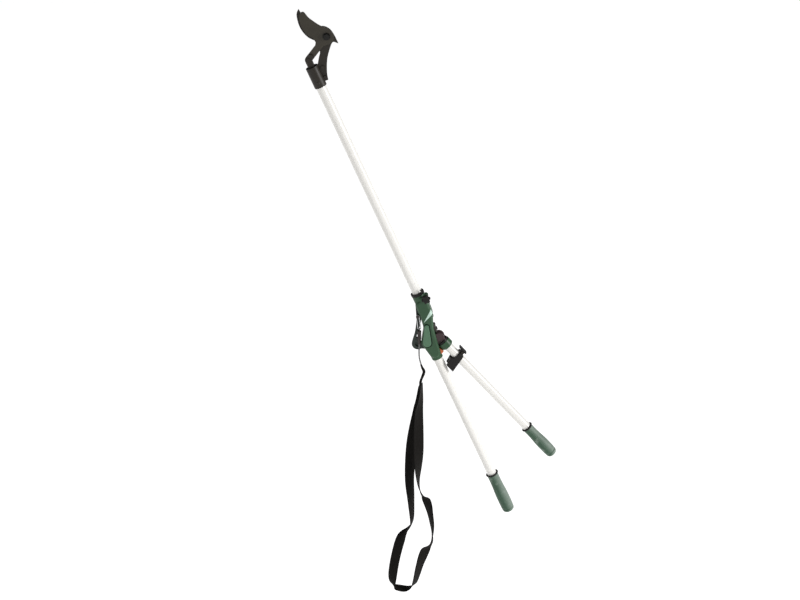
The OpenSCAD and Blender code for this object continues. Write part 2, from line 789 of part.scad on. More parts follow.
module hook_jaw() {
    color(blade_black) in_pole() translate([blade_x, 0, blade_z]) difference() {
        plate(0, jaw_t) jaw_outline();
        bar(0, 0, blade_bolt_r + fit, -over, 2 * jaw_t);
        for (b = jaw_bolt_rows)
            translate([b[0] - head_side + collar_r, 0, b[1] - head_rise - collar_len])
                bar(0, 0, jaw_bolt_r + fit, -over, 2 * jaw_t);
    }
}
module jaw_bolts() {
    color(blade_black) in_pole() for (b = jaw_bolt_rows)
        translate([axis_offset + collar_r + b[0], 0, collar_foot + b[1]]) {
            bar(0, 0, jaw_bolt_r + jaw_bolt_lip, -jaw_bolt_head, 0);
            bar(0, 0, jaw_bolt_r, 0, jaw_t + lug_t + nut_h + over);
        }
}
module jaw_nuts() {
    color(blade_black) in_pole() for (b = jaw_bolt_rows)
        translate([axis_offset + collar_r + b[0], 0, collar_foot + b[1]]) difference() {
            bar(0, 0, jaw_bolt_r + jaw_bolt_lip, jaw_t + lug_t, jaw_t + lug_t + nut_h, $fn = 6);
            bar(0, 0, jaw_bolt_r + fit, 0, jaw_t + lug_t + 2 * nut_h);
        }
}
module blade_bolt() {
    color(blade_black) in_pole() {
        bar(blade_x, blade_z, 2 * blade_bolt_r, bolt_face - blade_head_h, bolt_face, $fn = 6);
        bar(blade_x, blade_z, blade_bolt_r, bolt_face, jaw_t + blade_nut_h + over);
    }
}
module blade_washer() {
    color(blade_black) in_pole() translate([blade_x, 0, blade_z]) difference() {
        bar(0, 0, 2 * blade_bolt_r + washer_lip, washer_face - washer_t, washer_face);
        bar(0, 0, blade_bolt_r + fit, washer_face - 2 * washer_t, 0);
    }
}
module blade_nut() {
    color(blade_black) in_pole() translate([blade_x, 0, blade_z]) difference() {
        bar(0, 0, 2 * blade_bolt_r, jaw_t, jaw_t + blade_nut_h, $fn = 6);
        bar(0, 0, blade_bolt_r + fit, 0, jaw_t + 2 * blade_nut_h);
    }
}

// Outline of the blade about its pivot: spine, hub, tail with its slot, and cutting edge
tail_low = 24;
tail_high = 36;
function tail_point(r, side) = [
    -r * cos(tail_angle) - side * sin(tail_angle), -r * sin(tail_angle) + side * cos(tail_angle)
];
blade_spine = [[-35, 80], [-26.5, 78], [-22, 62], [-14.5, 48], [-5, 33], [2, 26], [10, 19], [16, 8]];
blade_hub = [[18, -4], [14, -14], [4, -19], [-8, -20]];
blade_edge = [[-31, -3], [-33, 10], [-40, 19], [-45, 33], [-47, 48], [-45, 63], [-40, 75]];
module blade_outline() {
    difference() {
        polygon(concat(
            smooth(blade_spine, 4),
            smooth(blade_hub, 4),
            [tail_point(tail_low, -tail_r)],
            [for (a = [0:15:180]) tail_point(tail_out + tail_r * sin(a), -tail_r * cos(a))],
            [tail_point(tail_high, tail_r)],
            smooth(blade_edge, 4)
        ));
        polygon(concat(
            [for (a = [0:15:180]) tail_point(tail_out + slot_half_w * sin(a), -slot_half_w * cos(a))],
            [for (a = [180:15:360]) tail_point(head_side + slot_half_w * sin(a), -slot_half_w * cos(a))]
        ));
    }
}
module blade() {
    color(blade_black) in_pole() translate([blade_x, 0, blade_z]) difference() {
        plate(blade_front, -blade_gap) blade_outline();
        bar(0, 0, blade_bolt_r + fit, 2 * blade_front, jaw_t);
    }
}

// Pull rod, from its swivel button to the fork at the blade's tail
module pull_rod() {
    color(steel_grey) in_pole() {
        upright(axis_offset, button_foot, button_foot + button_h, button_r);
        upright(axis_offset, button_foot + button_h, tail_z - fork_drop - fork_floor, rod_r);
    }
}
// Cheek of the rod's fork about the tail pin, long enough to cover the slot in the tail
module fork_outline() {
    polygon(concat(
        [[fork_half, -fork_drop - over], [fork_half, -fork_half * tan(45 - tail_angle / 2)]],
        [for (a = [-90:15:90])
            fork_reach * [cos(tail_angle), sin(tail_angle)]
            + fork_half * [cos(a + tail_angle), sin(a + tail_angle)]],
        [for (k = [0:0.25:1]) let(a = 180 - (90 - tail_angle) * (1 - k)) fork_half * [cos(a), sin(a)]],
        [[-fork_half, -fork_drop - over]]
    ));
}
module rod_clevis() {
    color(blade_black) in_pole() translate([axis_offset, 0, tail_z]) difference() {
        union() {
            translate([-fork_half, fork_front - fork_t, -fork_drop - fork_block])
                cube([2 * fork_half, fork_back - fork_front + 2 * fork_t, fork_block]);
            for (y = [fork_front - fork_t, fork_back]) plate(y, y + fork_t) fork_outline();
        }
        upright(0, -fork_drop - 2 * fork_block, -fork_drop - fork_floor + fit, rod_r + fit);
        bar(0, 0, tail_pin_r + fit, -body_h, body_h);
    }
}
module tail_pin() {
    color(blade_black) in_pole() translate([axis_offset, 0, tail_z]) {
        bar(0, 0, tail_pin_r, fork_front - fork_t, fork_back + fork_t);
        bar(0, 0, tail_pin_r + pin_lip, fork_front - fork_t - pin_lip, fork_front - fork_t);
    }
}
module rod_eye() {
    color(black_plastic) in_pole() {
        plate(-eye_t / 2, eye_t / 2) difference() {
            hull() for (x = [0, pin_side]) translate([pin_x + x, pin_z]) circle(r = eye_r, $fn = 32);
            hull() for (x = [0, pin_side]) translate([pin_x + x, pin_z]) circle(r = slot_r, $fn = 32);
        }
        upright(axis_offset, pin_z + eye_r - over, cup_foot + over, stem_r);
        difference() {
            upright(axis_offset, cup_foot, cup_foot + cup_h, cup_r);
            upright(
                axis_offset, cup_foot + cup_floor, button_foot + button_h + button_play,
                button_r + button_play
            );
            upright(axis_offset, cup_foot + cup_floor, cup_foot + 2 * cup_h, rod_r + button_play);
            translate([axis_offset, -button_r - button_play, cup_foot + cup_floor])
                cube([2 * cup_r, 2 * (button_r + button_play), button_h + 2 * button_play]);
            translate([axis_offset, -rod_r - button_play, cup_foot + cup_floor])
                cube([2 * cup_r, 2 * (rod_r + button_play), cup_h]);
        }
    }
}

// Lever
module cheek_outline() {
    difference() {
        union() {
            hull() {
                translate([pivot_x, pivot_z]) circle(r = hub_r - over, $fn = 32);
                translate([drum_x, drum_z]) circle(r = drum_r, $fn = 32);
            }
            translate([drum_x, drum_z]) rotate(lever_angle) translate([-neck_half, -2 * band_at])
                square([2 * neck_half, 2 * band_at]);
        }
        translate([drum_x, drum_z]) rotate(lever_angle) translate([-2 * drum_r, -band_at - 2 * drum_r])
            square([4 * drum_r, 2 * drum_r]);
    }
}
module lever_root() {
    color(drum_brown) in_pole() difference() {
        union() {
            difference() {
                union() {
                    plate(-lever_half, lever_half) cheek_outline();
                    at_lever() upright(0, -tube_at, over - band_at, band_core);
                }
                translate([pivot_x - 2 * hub_r, -cheek_in, pivot_z - sweep_r])
                    cube([2 * sweep_r, 2 * cheek_in, 2 * sweep_r]);
            }
            bar(pivot_x, pivot_z, hub_r, -lever_half, lever_half);
            at_lever() upright(0, -tube_at - spigot_len, -tube_at, lever_r - tube_wall - fit);
        }
        bar(pivot_x, pivot_z, bush_out + fit, -body_h, body_h);
        bar(pin_x, pin_z, drive_pin_d / 2 + fit, -body_h, body_h);
    }
}
module lever_bush() {
    color(nylon_white) in_pole() difference() {
        bar(pivot_x, pivot_z, bush_out, -lever_half, lever_half);
        bar(pivot_x, pivot_z, bush_in, -body_h, body_h);
    }
}
module drive_pin() {
    color(blade_black) in_pole() bar(pin_x, pin_z, drive_pin_d / 2, -lever_half, lever_half);
}
module lever_cap() {
    color(body_green) in_lever() translate([0, 0, -tube_at]) rotate_extrude() polygon([
        [lever_r + fit, 0], [cap_r, 0], [cap_r, cap_slope - cap_h], [cap_r - cap_slope, -cap_h],
        [lever_r + fit, -cap_h]
    ]);
}
module lever_tube() {
    color(white_paint) in_lever()
        upright(0, grip_end - lever_len - lever_grip_len, -tube_at, lever_r, lever_r - tube_wall);
}

// Forked clip on the lever tube, drawn along the lever: side and height below the drum
clip_half = 15;
clip_at = 59;
clip_len = 26;
clip_out = 25;
clip_in = 37;
clip_slant = 15;
clip_step = 6;
clip_lip = 3;
clip_fork = 14;
clip_mouth = 11;
clip_open = 5;
clip_wall = 1.5;
clip_side = lever_r + clip_wall;
clip_arm_half = 8;
clip_flange = 4;
clip_flange_x = clip_out - clip_flange;
clip_notch = 4;
clip_arm_top = -clip_at - clip_mouth;
clip_arm_foot = -clip_at - clip_len + clip_notch;
clip_screw_x = clip_side + screw_head_r + fit;
clip_screw_z = (clip_arm_top + clip_arm_foot) / 2;
clip_head_h = 2;
module lever_band() {
    color(black_plastic) in_lever() upright(0, -tube_at, -band_at, band_r, band_core + fit);
}
module lever_clip() {
    color(black_plastic) in_lever() difference() {
        union() {
            plate(-clip_half, clip_half) polygon([
                [clip_side, clip_arm_top], [clip_side, -clip_at - clip_len],
                [-clip_in, -clip_at - clip_len - clip_slant], [-clip_in, -clip_at - clip_slant],
                [-lever_r - clip_lip, -clip_at - clip_step]
            ]);
            plate(-clip_arm_half, clip_arm_half) polygon([
                [clip_out, -clip_at], [clip_out, -clip_at - clip_len], [clip_flange_x, -clip_at - clip_len],
                [clip_flange_x, clip_arm_foot], [0, clip_arm_foot], [0, clip_arm_top],
                [clip_flange_x, clip_arm_top], [clip_flange_x, -clip_at]
            ]);
        }
        upright(0, -clip_at - 3 * clip_len, 0, lever_r + fit);
        upright(0, -clip_at - clip_mouth, 0, lever_r + clip_open);
        translate([-clip_in - over, -clip_fork / 2, -clip_at - 3 * clip_len])
            cube([clip_fork, clip_fork, 3 * clip_len]);
        bar(clip_screw_x, clip_screw_z, screw_r + fit, -2 * clip_half, 2 * clip_half);
    }
}
module clip_screw() {
    color(blade_black) in_lever() {
        bar(clip_screw_x, clip_screw_z, screw_r, -clip_arm_half, clip_arm_half);
        bar(clip_screw_x, clip_screw_z, screw_head_r, -clip_arm_half - clip_head_h, -clip_arm_half);
    }
}
module lever_grip() {
    color(body_green) in_lever() translate([0, 0, -lever_len - lever_grip_len])
        grip_body(lever_grip_len, lever_r);
}
module lever_grip_collar() {
    color(black_plastic) in_lever() translate([0, 0, -lever_len - lever_grip_len])
        grip_collar(lever_grip_len, lever_r);
}

// Carrying strap, hanging from the stud
module half_ring(bow, wire) {
    rotate([90, 0, 0]) rotate_extrude(angle = 180) translate([bow, 0]) circle(r = wire, $fn = 24);
}
module strap_ring() {
    color(steel_grey) in_hang() rotate([0, -ring_tilt, 0]) {
        half_ring(ring_bow, ring_r);
        translate([0, 0, -ring_len]) rotate([0, 180, 0]) half_ring(ring_bow, ring_r);
        for (side = [-ring_bow, ring_bow]) upright(side, -ring_len, 0, ring_r);
    }
}
module snap_hook() {
    color(spine_grey) in_hang() translate([snap_x, 0, 0]) {
        translate([0, 0, snap_top]) rotate([0, 0, 90]) half_ring(snap_bow, snap_wire);
        for (side = [-snap_bow, snap_bow])
            translate([0, side, snap_neck]) cylinder(r = snap_wire, h = snap_bow);
        translate([0, 0, snap_foot]) rotate_extrude() polygon([
            [0, 0], [cord_d / 2 + 1, 0], [snap_r - 1, 0.2 * snap_len], [snap_r, 0.45 * snap_len],
            [snap_r, 0.8 * snap_len], [snap_head_r, 0.92 * snap_len], [snap_head_r, snap_len], [0, snap_len]
        ]);
    }
}
module strap_cord() {
    color(cord_grey) at_cord() swept_tube(smooth(cord_route, 3), cord_d / 2, 8);
}
module strap_loop() {
    color(strap_black) at_cord() swept_tube(smooth(loop_route, 2), loop_d / 2, 8);
}
webbing_steps = 5;
module strap_webbing() {
    color(strap_black) at_cord() swept_ribbon(smooth(webbing_route, webbing_steps), webbing_w, webbing_t);
}

handle_tube();
main_grip();
main_grip_collar();
housing_front();
housing_back();
pivot_cover();
strap_eye();
strap_stud();
neck_ring();
pole_bush();
clamp_knob();
clamp_screw();
clamp_nut();
lever_pivot_bolt();
lever_pivot_nut();
housing_screws();
handle_screw();
stop_bumper();
upper_tube();
pole_stop_ring();
rod_guides();
head_collar();
collar_rivets();
hook_jaw();
jaw_bolts();
jaw_nuts();
blade_bolt();
blade_washer();
blade_nut();
blade();
pull_rod();
rod_clevis();
tail_pin();
rod_eye();
lever_root();
lever_band();
lever_bush();
drive_pin();
lever_cap();
lever_tube();
lever_clip();
clip_screw();
lever_grip();
lever_grip_collar();
strap_ring();
snap_hook();
strap_cord();
strap_loop();
strap_webbing();
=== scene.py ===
import json
import math

import bpy
import bmesh
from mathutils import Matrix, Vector


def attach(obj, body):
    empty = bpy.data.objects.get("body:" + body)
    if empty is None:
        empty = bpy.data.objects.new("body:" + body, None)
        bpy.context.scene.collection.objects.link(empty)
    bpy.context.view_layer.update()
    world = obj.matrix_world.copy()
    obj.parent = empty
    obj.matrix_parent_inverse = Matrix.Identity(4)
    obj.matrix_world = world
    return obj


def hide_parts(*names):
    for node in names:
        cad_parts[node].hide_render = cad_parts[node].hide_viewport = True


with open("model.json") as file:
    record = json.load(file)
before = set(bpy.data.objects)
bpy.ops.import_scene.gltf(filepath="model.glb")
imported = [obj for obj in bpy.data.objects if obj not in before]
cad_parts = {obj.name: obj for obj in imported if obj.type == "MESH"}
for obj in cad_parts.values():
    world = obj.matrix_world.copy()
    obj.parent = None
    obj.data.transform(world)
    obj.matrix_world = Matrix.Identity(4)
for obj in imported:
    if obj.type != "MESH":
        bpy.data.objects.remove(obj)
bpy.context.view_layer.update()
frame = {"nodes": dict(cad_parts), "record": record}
nodes = frame["nodes"]
scene = bpy.context.scene
mm = 0.001

# the pole's own frame: x across the pole, y depth, z up the handle tube from the middle of the main grip
pole = {"lean": 23.2}


# camera, light and floor
stageLook = {
    "target": (-0.281, 0.0, 0.590),
    "elevation": 25.0,
    "distance": 4.5,
    "lens": 76.4,
    "sensor": 36,
    "floorZ": -0.62,
    "floorSize": 30.0,
    "worldShade": 1.0,
    "worldStrength": 0.26,
    "floorGlow": 0.74,
    "keyPlace": (4.0, -1.5, 1.9),
    "keySize": 1.4,
    "keyPower": 150,
    "fillPlace": (-1.6, -3.6, 1.8),
    "fillSize": 2.5,
    "fillPower": 7,
}


def setCamera(look):
    lift = math.radians(look["elevation"])
    data = bpy.data.cameras.new("photoCamera")
    data.lens = look["lens"]
    data.sensor_width = look["sensor"]
    camera = bpy.data.objects.new("photoCamera", data)
    away = Vector((0, -math.cos(lift), math.sin(lift))) * look["distance"]
    camera.location = Vector(look["target"]) + away
    camera.rotation_euler = (math.pi / 2 - lift, 0, 0)
    scene.collection.objects.link(camera)
    scene.camera = camera


def addLight(name, place, aim, size, power):
    data = bpy.data.lights.new(name, "AREA")
    data.size = size
    data.energy = power
    light = bpy.data.objects.new(name, data)
    light.location = place
    light.rotation_euler = (Vector(aim) - Vector(place)).to_track_quat("-Z", "Y").to_euler()
    scene.collection.objects.link(light)


def setStage(look):
    world = bpy.data.worlds.new("studio")
    scene.world = world
    world.use_nodes = True
    back = world.node_tree.nodes["Background"]
    back.inputs["Color"].default_value = (look["worldShade"],) * 3 + (1,)
    back.inputs["Strength"].default_value = look["worldStrength"]
    addLight("keyRight", look["keyPlace"], look["target"], look["keySize"], look["keyPower"])
    addLight("fillFront", look["fillPlace"], look["target"], look["fillSize"], look["fillPower"])
    bm = bmesh.new()
    bmesh.ops.create_grid(bm, x_segments=1, y_segments=1, size=look["floorSize"] / 2)
    bmesh.ops.translate(bm, verts=bm.verts, vec=(0, 0, look["floorZ"]))
    floor = meshObject("floor", bm)
    floor.data.materials.append(floorFinish(look["floorGlow"]))
    scene.view_settings.view_transform = "Standard"


def meshObject(name, bm):
    mesh = bpy.data.meshes.new(name)
    bm.to_mesh(mesh)
    bm.free()
    obj = bpy.data.objects.new(name, mesh)
    scene.collection.objects.link(obj)
    return obj


# shared effects: steps of noise, and how sharply a scuff ends
effects = {"fineDetail": 2, "broadDetail": 3, "scuffDetail": 6, "scuffEdge": 6}


def startGroup(name, ins, outs):
    group = bpy.data.node_groups.new(name, "ShaderNodeTree")
    for label, value in ins:
        socket = group.interface.new_socket(label, in_out="INPUT", socket_type="NodeSocketFloat")
        socket.default_value = value
    for label in outs:
        group.interface.new_socket(label, in_out="OUTPUT", socket_type="NodeSocketFloat")
    first = group.nodes.new("NodeGroupInput")
    last = group.nodes.new("NodeGroupOutput")
    return group, first, last


def addMath(tree, kind, a, b):
    node = tree.nodes.new("ShaderNodeMath")
    node.operation = kind
    for socket, value in zip(node.inputs, (a, b)):
        if isinstance(value, (int, float)):
            socket.default_value = value
        else:
            tree.links.new(value, socket)
    return node.outputs[0]


def addNoise(tree, vector, scale, detail):
    node = tree.nodes.new("ShaderNodeTexNoise")
    node.inputs["Detail"].default_value = detail
    tree.links.new(vector, node.inputs["Vector"])
    if isinstance(scale, (int, float)):
        node.inputs["Scale"].default_value = scale
    else:
        tree.links.new(scale, node.inputs["Scale"])
    return node.outputs["Fac"]


def makeGrain():  # fine moulded or brushed grain, with a slow drift of shade
    group, first, last = startGroup("surfaceGrain", [("Fine", 900), ("Broad", 14)], ["Grain", "Drift"])
    coords = group.nodes.new("ShaderNodeTexCoord").outputs["Object"]
    fine = addNoise(group, coords, first.outputs["Fine"], effects["fineDetail"])
    broad = addNoise(group, coords, first.outputs["Broad"], effects["broadDetail"])
    group.links.new(fine, last.inputs["Grain"])
    group.links.new(broad, last.inputs["Drift"])
    return group


def makeScuffs():  # thin patches rubbed paler by handling
    group, first, last = startGroup("handlingScuffs", [("Size", 60), ("Cover", 0.62)], ["Scuff"])
    coords = group.nodes.new("ShaderNodeTexCoord").outputs["Object"]
    patches = addNoise(group, coords, first.outputs["Size"], effects["scuffDetail"])
    over = addMath(group, "SUBTRACT", patches, first.outputs["Cover"])
    mask = addMath(group, "MULTIPLY", over, effects["scuffEdge"])
    clear = addMath(group, "MAXIMUM", mask, 0)
    group.links.new(addMath(group, "MINIMUM", clear, 1), last.inputs["Scuff"])
    return group


def makeWeave():  # crossing threads on the piece's own UV map
    group, first, last = startGroup("wovenThreads", [("Across", 18), ("Along", 900)], ["Thread", "Rib"])
    uv = group.nodes.new("ShaderNodeTexCoord").outputs["UV"]
    parts = group.nodes.new("ShaderNodeSeparateXYZ")
    group.links.new(uv, parts.inputs[0])
    warp = addMath(group, "MULTIPLY", parts.outputs["X"], first.outputs["Across"])
    weft = addMath(group, "MULTIPLY", parts.outputs["Y"], first.outputs["Along"])
    shifted = addMath(group, "ADD", weft, addMath(group, "FLOOR", warp, 0))
    ridge = addMath(group, "SINE", addMath(group, "MULTIPLY", warp, math.pi), 0)
    rib = addMath(group, "ABSOLUTE", ridge, 0)
    wave = addMath(group, "SINE", addMath(group, "MULTIPLY", shifted, math.pi), 0)
    step = addMath(group, "ABSOLUTE", wave, 0)
    group.links.new(addMath(group, "MULTIPLY", rib, step), last.inputs["Thread"])
    group.links.new(rib, last.inputs["Rib"])
    return group


def frontLine(group, look):  # along, beside and front mask of a tapered line in the pole's frame
    coords = group.nodes.new("ShaderNodeTexCoord").outputs["Object"]
    turn = group.nodes.new("ShaderNodeVectorRotate")
    turn.rotation_type = "Y_AXIS"
    turn.inputs["Angle"].default_value = math.radians(pole["lean"])
    group.links.new(coords, turn.inputs["Vector"])
    parts = group.nodes.new("ShaderNodeSeparateXYZ")
    group.links.new(turn.outputs[0], parts.inputs[0])
    line = Vector(look["end"]) - Vector(look["start"])
    span = line.length * mm
    line.normalize()
    across = addMath(group, "SUBTRACT", parts.outputs["X"], look["start"][0] * mm)
    up = addMath(group, "SUBTRACT", parts.outputs["Z"], look["start"][1] * mm)
    alongSide = addMath(group, "MULTIPLY", across, line.x)
    alongRise = addMath(group, "MULTIPLY", up, line.y)
    along = addMath(group, "ADD", alongSide, alongRise)
    besideRise = addMath(group, "MULTIPLY", up, line.x)
    besideSide = addMath(group, "MULTIPLY", across, line.y)
    beside = addMath(group, "SUBTRACT", besideRise, besideSide)
    front = addMath(group, "LESS_THAN", parts.outputs["Y"], -look["depth"] * mm)
    return along, beside, front, span


def taper(group, share, look):  # half width at a share of the line
    half = addMath(group, "MULTIPLY_ADD", share, (look["endHalf"] - look["startHalf"]) * mm)
    half.node.inputs[2].default_value = look["startHalf"] * mm
    return half


def softStep(group, room, soft):  # from 0 to 1 over a soft edge
    edge = addMath(group, "MAXIMUM", addMath(group, "DIVIDE", room, soft), 0)
    return addMath(group, "MINIMUM", edge, 1)


def makeStripe(look):  # painted highlight: a pale tapered line across the front, where the shell's edge catches the key light
    group, first, last = startGroup("shellStripe", [("Soft", 0.0006)], ["Stripe"])
    along, beside, front, span = frontLine(group, look)
    half = taper(group, addMath(group, "DIVIDE", along, span), look)
    room = addMath(group, "SUBTRACT", half, addMath(group, "ABSOLUTE", beside, 0))
    room = addMath(group, "MINIMUM", room, addMath(group, "SUBTRACT", span, along))
    edge = softStep(group, room, first.outputs["Soft"])
    group.links.new(addMath(group, "MULTIPLY", edge, front), last.inputs["Stripe"])
    return group


def makeGroove(look):  # painted shade: darker in the groove round the raised cover
    group, first, last = startGroup("coverGroove", [("Soft", 0.0008)], ["Groove"])
    along, beside, front, span = frontLine(group, look)
    share = softStep(group, along, span)
    over = addMath(group, "SUBTRACT", along, addMath(group, "MULTIPLY", share, span))
    overSquare = addMath(group, "MULTIPLY", over, over)
    besideSquare = addMath(group, "MULTIPLY", beside, beside)
    squares = addMath(group, "ADD", overSquare, besideSquare)
    away = addMath(group, "SUBTRACT", addMath(group, "SQRT", squares, 0), taper(group, share, look))
    room = addMath(group, "SUBTRACT", look["width"] * mm, away)
    edge = softStep(group, room, first.outputs["Soft"])
    group.links.new(addMath(group, "MULTIPLY", edge, front), last.inputs["Groove"])
    return group


# painted highlight line and painted groove shade on the front shell, as side and height in the pole's frame
paintedHighlightLook = {"start": (40, 594), "end": (10, 575), "startHalf": 5.5, "endHalf": 0.6, "depth": 13}
grooveLook = {
    "start": (-6, 516), "end": (11, 560), "startHalf": 11.5, "endHalf": 6, "width": 3.2, "depth": 15.5,
}
grainGroup = makeGrain()
paintedHighlightGroup = makeStripe(paintedHighlightLook)
grooveGroup = makeGroove(grooveLook)
scuffGroup = makeScuffs()
weaveGroup = makeWeave()
print("effects ready")


# finishes
def placeGroup(tree, group, values):
    node = tree.nodes.new("ShaderNodeGroup")
    node.node_tree = group
    for label, value in values.items():
        node.inputs[label].default_value = value
    return node


mixSockets = {"first": 6, "second": 7, "result": 2}  # colour sockets of a mix node


def mixColour(tree, factor, a, b):
    node = tree.nodes.new("ShaderNodeMix")
    node.data_type = "RGBA"
    tree.links.new(factor, node.inputs[0])
    for index, value in ((mixSockets["first"], a), (mixSockets["second"], b)):
        if isinstance(value, tuple):
            node.inputs[index].default_value = value + (1,)
        else:
            tree.links.new(value, node.inputs[index])
    return node.outputs[mixSockets["result"]]


def mapValue(tree, value, low, high):
    node = tree.nodes.new("ShaderNodeMapRange")
    node.inputs["To Min"].default_value = low
    node.inputs["To Max"].default_value = high
    tree.links.new(value, node.inputs["Value"])
    return node.outputs[0]


def addBump(tree, shader, height, strength, distance):
    node = tree.nodes.new("ShaderNodeBump")
    node.inputs["Strength"].default_value = strength
    node.inputs["Distance"].default_value = distance
    tree.links.new(height, node.inputs["Height"])
    tree.links.new(node.outputs[0], shader.inputs["Normal"])


def makeFinish(name, look):
    material = bpy.data.materials.new(name)
    material.use_nodes = True
    tree = material.node_tree
    shader = tree.nodes["Principled BSDF"]
    grain = placeGroup(tree, grainGroup, {"Fine": look["fine"], "Broad": look["broad"]})
    colour = mixColour(tree, grain.outputs["Drift"], look["dark"], look["light"])
    if "scuff" in look:
        scuff = placeGroup(tree, scuffGroup, {"Size": look["scuffSize"], "Cover": look["scuffCover"]})
        colour = mixColour(tree, scuff.outputs["Scuff"], colour, look["scuff"])
    # painted light: paler where a grip faces the key light, mottled by the grain drift
    if "paintedLitSide" in look:
        litFacing = tree.nodes.new("ShaderNodeAttribute")
        litFacing.attribute_name = "paintedLitSide"
        patches = mapValue(tree, grain.outputs["Drift"], look["paintedLitSideLeast"], 1)
        litShare = addMath(tree, "MULTIPLY", litFacing.outputs["Fac"], patches)
        colour = mixColour(tree, litShare, colour, look["paintedLitSide"])
    # painted highlight: pale tapered line across the front shell
    if "paintedHighlight" in look:
        paintedHighlight = placeGroup(tree, paintedHighlightGroup, {})
        colour = mixColour(tree, paintedHighlight.outputs["Stripe"], colour, look["paintedHighlight"])
    # painted shade: darker in the groove round the raised cover
    if "groove" in look:
        groove = placeGroup(tree, grooveGroup, {})
        colour = mixColour(tree, groove.outputs["Groove"], colour, look["groove"])
    tree.links.new(colour, shader.inputs["Base Color"])
    rough = mapValue(tree, grain.outputs["Drift"], look["rough"][0], look["rough"][1])
    tree.links.new(rough, shader.inputs["Roughness"])
    shader.inputs["Metallic"].default_value = look.get("metal", 0)
    shader.inputs["Specular IOR Level"].default_value = look.get("specular", 0.5)
    shader.inputs["Coat Weight"].default_value = look.get("coat", 0)
    shader.inputs["Sheen Weight"].default_value = look.get("sheen", 0)
    addBump(tree, shader, grain.outputs["Grain"], look["bump"], look["bumpDepth"] * mm)
    return material


threadLook = {
    "fine": 1500, "broad": 30, "dustMost": 0.5, "rough": (0.95, 0.75),
    "specular": 0.09, "sheen": 0.03, "bump": 0.7, "bumpDepth": 0.35,
}


def makeWoven(name, look):
    material = bpy.data.materials.new(name)
    material.use_nodes = True
    tree = material.node_tree
    shader = tree.nodes["Principled BSDF"]
    weave = placeGroup(tree, weaveGroup, {"Across": look["across"], "Along": look["along"]})
    grain = placeGroup(tree, grainGroup, {"Fine": threadLook["fine"], "Broad": threadLook["broad"]})
    threads = mixColour(tree, weave.outputs["Thread"], look["dark"], look["light"])
    dusty = mapValue(tree, grain.outputs["Drift"], 0, threadLook["dustMost"])
    colour = mixColour(tree, dusty, threads, look["dust"])
    tree.links.new(colour, shader.inputs["Base Color"])
    rough = mapValue(tree, weave.outputs["Rib"], threadLook["rough"][0], threadLook["rough"][1])
    tree.links.new(rough, shader.inputs["Roughness"])
    shader.inputs["Specular IOR Level"].default_value = threadLook["specular"]
    shader.inputs["Sheen Weight"].default_value = threadLook["sheen"]
    addBump(tree, shader, weave.outputs["Thread"], threadLook["bump"], threadLook["bumpDepth"] * mm)
    return material


floorLook = {
    "dark": (0.93, 0.93, 0.93), "light": (0.97, 0.97, 0.97), "fine": 40, "broad": 0.4,
    "rough": (0.85, 0.95), "bump": 0.02, "bumpDepth": 0.2,
}


def floorFinish(glow):
    material = makeFinish("paleFloor", floorLook)
    shader = material.node_tree.nodes["Principled BSDF"]
    shader.inputs["Emission Color"].default_value = (1, 1, 1, 1)
    shader.inputs["Emission Strength"].default_value = glow
    return material


